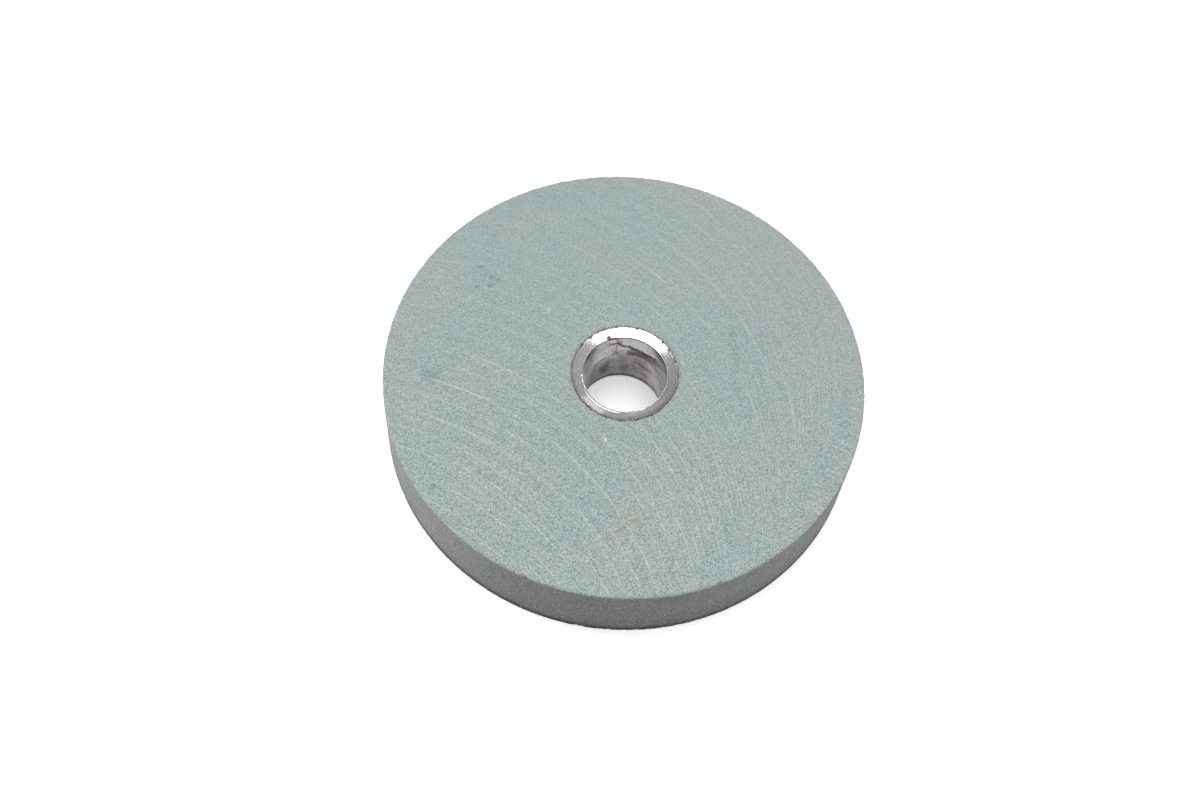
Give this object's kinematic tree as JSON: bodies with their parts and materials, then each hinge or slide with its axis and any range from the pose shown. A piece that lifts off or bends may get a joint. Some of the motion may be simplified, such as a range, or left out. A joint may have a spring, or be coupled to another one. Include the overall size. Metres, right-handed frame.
{
  "type": "grinding wheel",
  "caption": "Flat round grinding wheel of pale green bonded abrasive with a dished cast metal bush cemented into its centre hole.",
  "frame": {"origin": "centre of the bore at the wheel's lower face, on which it lies", "axes": "+Z along the spindle axis, from the lower face to the upper face; X and Y are alike"},
  "size_m": [0.145, 0.145, 0.0254],
  "materials": {
    "abrasive": "matte, fine open grain",
    "cement": "matte, rough",
    "bush_metal": "satin on the dished ends, dull and stained in the bore"
  },
  "bodies": {
    "root": {"abrasive_wheel": "abrasive", "bush_cement": "cement", "arbor_bush": "bush_metal"}
  },
  "joints": []
}
